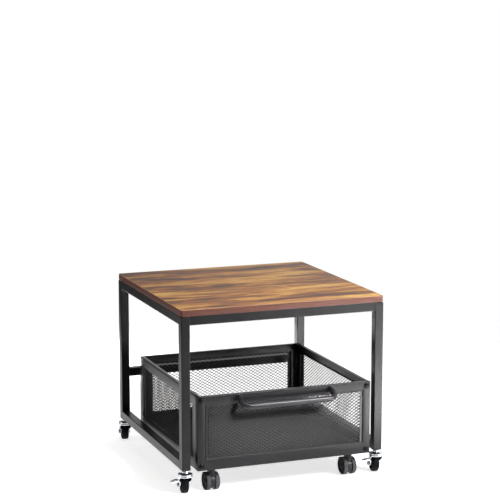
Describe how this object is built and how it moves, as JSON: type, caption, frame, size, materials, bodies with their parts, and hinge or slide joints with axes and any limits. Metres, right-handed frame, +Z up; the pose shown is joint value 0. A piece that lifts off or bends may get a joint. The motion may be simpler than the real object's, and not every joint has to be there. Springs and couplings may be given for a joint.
{
  "type": "rolling appliance stand with drawer",
  "caption": "Rolling stand with a square wood-grain board on a tubular steel frame and swivel casters, with a free-rolling mesh drawer parked underneath.",
  "frame": {"origin": "on the floor, under the middle of the frame's plan", "axes": "+Z up out of the board, +X to the right seen from the front, -Y out of the front, where the drawer opens"},
  "size_m": [0.636, 0.685, 0.518],
  "materials": {
    "board": "rustic wood-grain laminate",
    "powder_coat": "satin charcoal powder coat",
    "zinc": "bright zinc plate",
    "steel": "plated steel",
    "black_zinc": "black zinc plate",
    "wheel": "black moulded tread",
    "plastic": "black moulded nylon"
  },
  "bodies": {
    "stand_frame": {"top_board": "board", "board_screws": "steel", "post_fl": "powder_coat", "post_fr": "powder_coat", "post_rl": "powder_coat", "post_rr": "powder_coat", "front_rail": "powder_coat", "rear_rail": "powder_coat", "left_rail": "powder_coat", "right_rail": "powder_coat", "left_base_rail": "powder_coat", "right_base_rail": "powder_coat", "rear_bar": "powder_coat", "post_inserts": "plastic", "caster_stems": "zinc"},
    "drawer": {"drawer_front": "powder_coat", "drawer_rear": "powder_coat", "drawer_left": "powder_coat", "drawer_right": "powder_coat", "front_mesh": "powder_coat", "rear_mesh": "powder_coat", "left_mesh": "powder_coat", "right_mesh": "powder_coat", "drawer_floor": "powder_coat", "drawer_bolts": "black_zinc", "drawer_handle": "powder_coat", "drawer_caster_stems": "steel"},
    "caster_fl": {"fork_fl": "zinc", "axle_fl": "steel"},
    "caster_wheel_fl": {"wheel_fl": "wheel"},
    "brake_fl": {"brake_lever_fl": "zinc"},
    "caster_fr": {"fork_fr": "zinc", "axle_fr": "steel"},
    "caster_wheel_fr": {"wheel_fr": "wheel"},
    "brake_fr": {"brake_lever_fr": "zinc"},
    "caster_rl": {"fork_rl": "zinc", "axle_rl": "steel"},
    "caster_wheel_rl": {"wheel_rl": "wheel"},
    "caster_rr": {"fork_rr": "zinc", "axle_rr": "steel"},
    "caster_wheel_rr": {"wheel_rr": "wheel"},
    "drawer_caster_fl": {"hood_fl": "plastic", "dolly_axle_fl": "steel"},
    "drawer_wheel_fl_l": {"dolly_wheel_fl_l": "wheel"},
    "drawer_wheel_fl_r": {"dolly_wheel_fl_r": "wheel"},
    "drawer_caster_fr": {"hood_fr": "plastic", "dolly_axle_fr": "steel"},
    "drawer_wheel_fr_l": {"dolly_wheel_fr_l": "wheel"},
    "drawer_wheel_fr_r": {"dolly_wheel_fr_r": "wheel"},
    "drawer_caster_rl": {"hood_rl": "plastic", "dolly_axle_rl": "steel"},
    "drawer_wheel_rl_l": {"dolly_wheel_rl_l": "wheel"},
    "drawer_wheel_rl_r": {"dolly_wheel_rl_r": "wheel"},
    "drawer_caster_rr": {"hood_rr": "plastic", "dolly_axle_rr": "steel"},
    "drawer_wheel_rr_l": {"dolly_wheel_rr_l": "wheel"},
    "drawer_wheel_rr_r": {"dolly_wheel_rr_r": "wheel"}
  },
  "joints": [
    {"name": "drawer_slide", "type": "slide", "parent": "stand_frame", "child": "drawer", "axis": [0, -1, 0], "range_m": [-0.045, 0.53]},
    {"name": "caster_swivel_fl", "type": "hinge", "parent": "stand_frame", "child": "caster_fl", "pos_m": [-0.2875, -0.2875, 0.055], "axis": [0, 0, 1], "continuous": true},
    {"name": "caster_roll_fl", "type": "hinge", "parent": "caster_fl", "child": "caster_wheel_fl", "pos_m": [-0.28527, -0.27166, 0.025], "axis": [0.9903, -0.1392, 0], "continuous": true},
    {"name": "brake_pedal_fl", "type": "hinge", "parent": "caster_fl", "child": "brake_fl", "pos_m": [-0.28527, -0.27166, 0.025], "axis": [0.9903, -0.1392, 0], "range_deg": [0, 22]},
    {"name": "caster_swivel_fr", "type": "hinge", "parent": "stand_frame", "child": "caster_fr", "pos_m": [0.2875, -0.2875, 0.055], "axis": [0, 0, 1], "continuous": true},
    {"name": "caster_roll_fr", "type": "hinge", "parent": "caster_fr", "child": "caster_wheel_fr", "pos_m": [0.28973, -0.27166, 0.025], "axis": [0.9903, -0.1392, 0], "continuous": true},
    {"name": "brake_pedal_fr", "type": "hinge", "parent": "caster_fr", "child": "brake_fr", "pos_m": [0.28973, -0.27166, 0.025], "axis": [0.9903, -0.1392, 0], "range_deg": [0, 22]},
    {"name": "caster_swivel_rl", "type": "hinge", "parent": "stand_frame", "child": "caster_rl", "pos_m": [-0.2875, 0.2875, 0.055], "axis": [0, 0, 1], "continuous": true},
    {"name": "caster_roll_rl", "type": "hinge", "parent": "caster_rl", "child": "caster_wheel_rl", "pos_m": [-0.28527, 0.30334, 0.025], "axis": [0.9903, -0.1392, 0], "continuous": true},
    {"name": "caster_swivel_rr", "type": "hinge", "parent": "stand_frame", "child": "caster_rr", "pos_m": [0.2875, 0.2875, 0.055], "axis": [0, 0, 1], "continuous": true},
    {"name": "caster_roll_rr", "type": "hinge", "parent": "caster_rr", "child": "caster_wheel_rr", "pos_m": [0.28973, 0.30334, 0.025], "axis": [0.9903, -0.1392, 0], "continuous": true},
    {"name": "drawer_caster_swivel_fl", "type": "hinge", "parent": "drawer", "child": "drawer_caster_fl", "pos_m": [-0.2065, -0.278, 0.05], "axis": [0, 0, 1], "continuous": true},
    {"name": "drawer_roll_fl_l", "type": "hinge", "parent": "drawer_caster_fl", "child": "drawer_wheel_fl_l", "pos_m": [-0.2065, -0.269, 0.025], "axis": [1, 0, 0], "continuous": true},
    {"name": "drawer_roll_fl_r", "type": "hinge", "parent": "drawer_caster_fl", "child": "drawer_wheel_fl_r", "pos_m": [-0.2065, -0.269, 0.025], "axis": [1, 0, 0], "continuous": true},
    {"name": "drawer_caster_swivel_fr", "type": "hinge", "parent": "drawer", "child": "drawer_caster_fr", "pos_m": [0.2065, -0.278, 0.05], "axis": [0, 0, 1], "continuous": true},
    {"name": "drawer_roll_fr_l", "type": "hinge", "parent": "drawer_caster_fr", "child": "drawer_wheel_fr_l", "pos_m": [0.2065, -0.269, 0.025], "axis": [1, 0, 0], "continuous": true},
    {"name": "drawer_roll_fr_r", "type": "hinge", "parent": "drawer_caster_fr", "child": "drawer_wheel_fr_r", "pos_m": [0.2065, -0.269, 0.025], "axis": [1, 0, 0], "continuous": true},
    {"name": "drawer_caster_swivel_rl", "type": "hinge", "parent": "drawer", "child": "drawer_caster_rl", "pos_m": [-0.2065, 0.192, 0.05], "axis": [0, 0, 1], "continuous": true},
    {"name": "drawer_roll_rl_l", "type": "hinge", "parent": "drawer_caster_rl", "child": "drawer_wheel_rl_l", "pos_m": [-0.2065, 0.201, 0.025], "axis": [1, 0, 0], "continuous": true},
    {"name": "drawer_roll_rl_r", "type": "hinge", "parent": "drawer_caster_rl", "child": "drawer_wheel_rl_r", "pos_m": [-0.2065, 0.201, 0.025], "axis": [1, 0, 0], "continuous": true},
    {"name": "drawer_caster_swivel_rr", "type": "hinge", "parent": "drawer", "child": "drawer_caster_rr", "pos_m": [0.2065, 0.192, 0.05], "axis": [0, 0, 1], "continuous": true},
    {"name": "drawer_roll_rr_l", "type": "hinge", "parent": "drawer_caster_rr", "child": "drawer_wheel_rr_l", "pos_m": [0.2065, 0.201, 0.025], "axis": [1, 0, 0], "continuous": true},
    {"name": "drawer_roll_rr_r", "type": "hinge", "parent": "drawer_caster_rr", "child": "drawer_wheel_rr_r", "pos_m": [0.2065, 0.201, 0.025], "axis": [1, 0, 0], "continuous": true}
  ]
}
